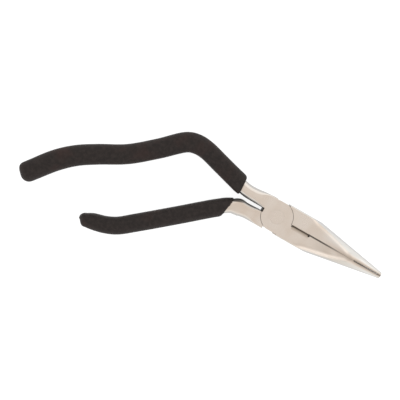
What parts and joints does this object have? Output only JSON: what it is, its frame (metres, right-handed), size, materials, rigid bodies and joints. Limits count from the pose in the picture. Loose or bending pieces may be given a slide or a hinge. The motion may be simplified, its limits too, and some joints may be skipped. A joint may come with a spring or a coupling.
{
  "type": "needle nose pliers",
  "caption": "Needle nose pliers with bent handles: long tapered steel jaws with a side cutter, a flush riveted lap joint and dark dipped grips.",
  "frame": {"origin": "centre of the rivet's back end, in the back face of the joint", "axes": "+X along the jaws towards the tip, +Y towards the upper jaw (the jaw on the side of the hooked-over, longer handle), +Z from the back face of the joint to its front face"},
  "size_m": [0.2025, 0.076, 0.0111],
  "materials": {
    "steel": "satin, ground",
    "rivet_steel": "satin, ground flush",
    "grip": "matte"
  },
  "bodies": {
    "front": {"front_half": "steel", "pivot_rivet": "rivet_steel", "upper_grip": "grip"},
    "back": {"back_half": "steel", "lower_grip": "grip"}
  },
  "joints": [
    {"name": "jaw_pivot", "type": "hinge", "parent": "front", "child": "back", "pos_m": [0, 0, 0], "axis": [0, 0, 1], "range_deg": [0, 43]}
  ]
}
